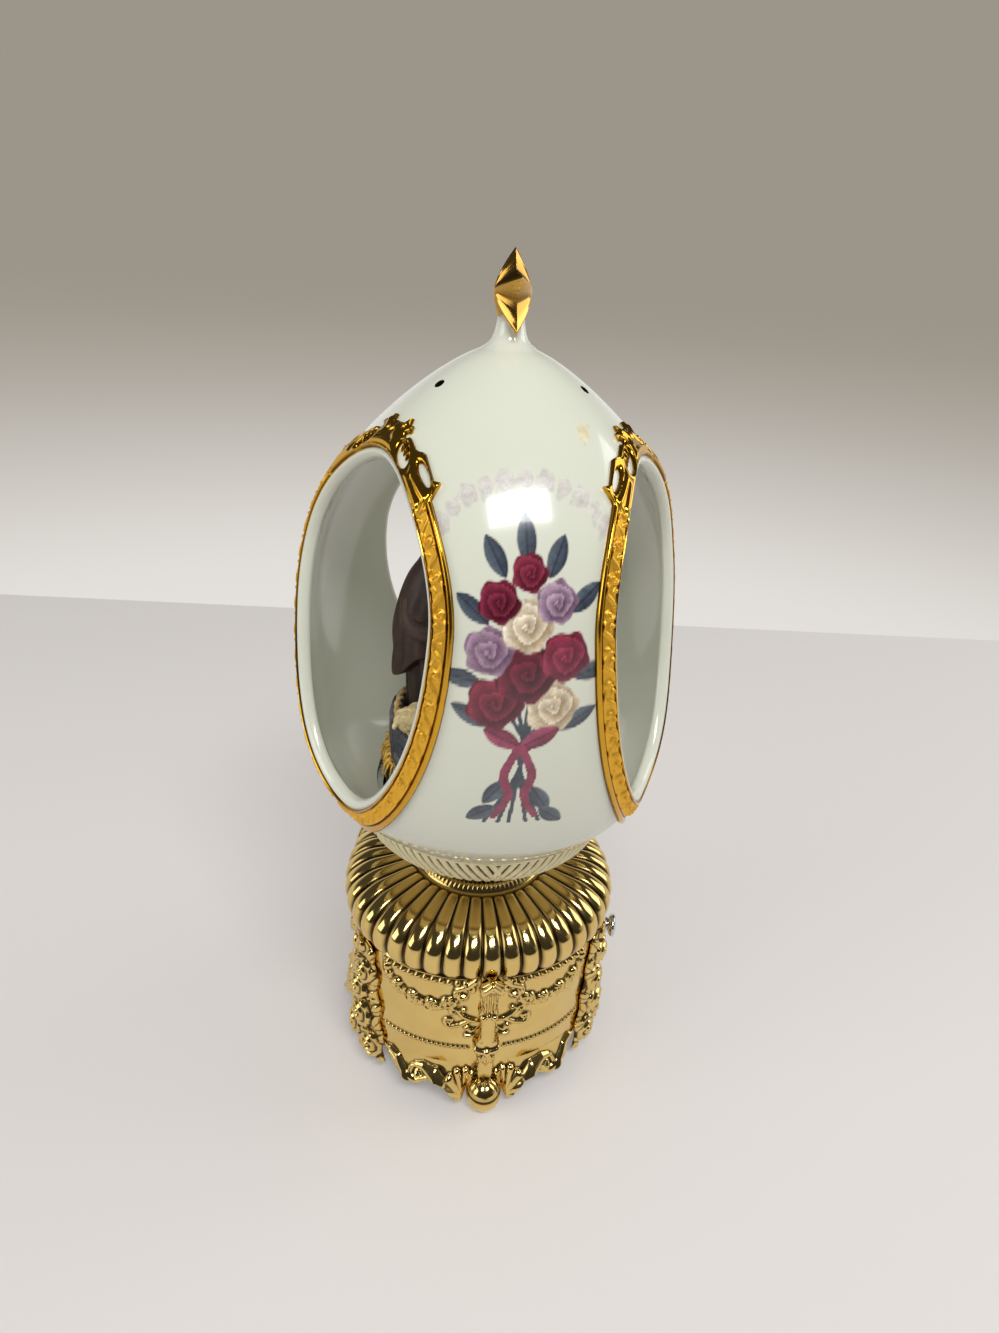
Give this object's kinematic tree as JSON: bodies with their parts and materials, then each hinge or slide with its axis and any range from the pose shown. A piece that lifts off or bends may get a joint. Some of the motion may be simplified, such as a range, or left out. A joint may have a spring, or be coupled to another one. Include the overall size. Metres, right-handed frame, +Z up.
{
  "type": "egg music box",
  "caption": "Standing porcelain egg with open arched windows and turning figures inside, on a gilt footed base that holds a wind-up comb movement.",
  "frame": {"origin": "on the floor at the middle of the object's width and depth; the egg's turning axis stands 1.8 mm behind it, at +Y, because the three-sided egg is deeper in front of its axis", "axes": "+Z up along the egg; -Y is the front, towards the printed panel and the front foot; +X is to the right seen from the front, towards the stop knob"},
  "size_m": [0.0992, 0.0927, 0.212],
  "materials": {
    "gilt_brass": "polished, gold plated",
    "trim_gold": "polished, gold plated",
    "glazed_porcelain": "glossy pearl glaze",
    "cream_laurel": "cream enamel over gilt",
    "chrome": "polished",
    "steel": "satin",
    "movement_brass": "satin",
    "cast_zinc": "as cast",
    "turntable_wood": "stained",
    "resin_stone": "painted resin, matte",
    "resin_robe": "painted resin, satin",
    "resin_wool": "painted resin, matte"
  },
  "bodies": {
    "root": {"base_body": "gilt_brass", "bottom_plate": "steel", "bushing_nut": "movement_brass", "comb": "steel", "comb_base": "cast_zinc", "comb_screw_1": "steel", "comb_screw_2": "steel", "cover_screw_1": "steel", "cover_screw_2": "steel", "cover_screw_3": "steel", "cylinder_bracket_left": "cast_zinc", "cylinder_bracket_right": "cast_zinc", "egg_shell": "glazed_porcelain", "governor_bracket": "cast_zinc", "governor_frame": "cast_zinc", "laurel_cup": "cream_laurel", "movement_bedplate": "cast_zinc", "movement_screw_1": "steel", "movement_screw_2": "steel", "movement_screw_3": "steel", "pilaster_foot_1": "gilt_brass", "pilaster_foot_2": "gilt_brass", "pilaster_foot_3": "gilt_brass", "rose_bouquet_1": "gilt_brass", "rose_bouquet_2": "gilt_brass", "rose_bouquet_3": "gilt_brass", "shaft_bushing": "movement_brass", "star_finial": "trim_gold", "window_trim_1": "trim_gold", "window_trim_2": "trim_gold", "window_trim_3": "trim_gold"},
    "figure": {"turntable": "turntable_wood", "figure_shaft": "steel", "shaft_clip": "steel", "turntable_gear": "movement_brass", "figure_ground": "resin_stone", "shepherd_figure": "resin_robe", "lamb_1": "resin_wool", "lamb_2": "resin_wool", "shepherd_staff": "turntable_wood"},
    "barrel": {"spring_barrel": "movement_brass", "barrel_cover": "movement_brass", "mainspring": "steel", "drive_gear": "movement_brass"},
    "cylinder": {"music_cylinder": "movement_brass", "cylinder_arbor": "steel", "cylinder_pinion": "movement_brass", "cylinder_wheel": "movement_brass"},
    "governor": {"governor_arbor": "steel", "governor_pinion": "movement_brass", "worm_wheel": "movement_brass"},
    "fly": {"worm_shaft": "steel", "fly": "movement_brass"},
    "winding": {"winding_key": "movement_brass", "winding_arbor": "steel", "ratchet_wheel": "steel"},
    "click": {"click": "steel"},
    "stop": {"stop_knob": "chrome", "stop_rod": "steel"}
  },
  "joints": [
    {"name": "figure_spin", "type": "hinge", "parent": "root", "child": "figure", "pos_m": [0, 0.0018, 0.08], "axis": [0, 0, 1], "continuous": true},
    {"name": "barrel_spin", "type": "hinge", "parent": "root", "child": "barrel", "pos_m": [-0.014, 0.0018, 0.024], "axis": [0, 0, 1], "continuous": true},
    {"name": "cylinder_spin", "type": "hinge", "parent": "root", "child": "cylinder", "pos_m": [0.01, 0.0018, 0.0264], "axis": [1, 0, 0], "continuous": true},
    {"name": "governor_spin", "type": "hinge", "parent": "root", "child": "governor", "pos_m": [0.018, -0.00924, 0.0264], "axis": [1, 0, 0], "continuous": true},
    {"name": "fly_spin", "type": "hinge", "parent": "root", "child": "fly", "pos_m": [0.015, -0.01449, 0.033], "axis": [0, 0, 1], "continuous": true},
    {"name": "key_wind", "type": "hinge", "parent": "root", "child": "winding", "pos_m": [-0.014, 0.0018, 0.008], "axis": [0, 0, 1], "range_deg": [0, 1440]},
    {"name": "click_lift", "type": "hinge", "parent": "root", "child": "click", "pos_m": [-0.0195, 0.009, 0.0176], "axis": [0, 0, 1], "range_deg": [0, 10], "stiffness_Nm_per_rad": 0.002},
    {"name": "stop_slide", "type": "slide", "parent": "root", "child": "stop", "axis": [0.9613, -0.2756, 0], "range_m": [-0.0015, 0]}
  ],
  "couplings": [
    {"joint": "barrel_spin", "follows": "figure_spin", "ratio": -1},
    {"joint": "cylinder_spin", "follows": "figure_spin", "ratio": -2.5},
    {"joint": "governor_spin", "follows": "figure_spin", "ratio": 8.1818},
    {"joint": "fly_spin", "follows": "figure_spin", "ratio": 57.273}
  ]
}
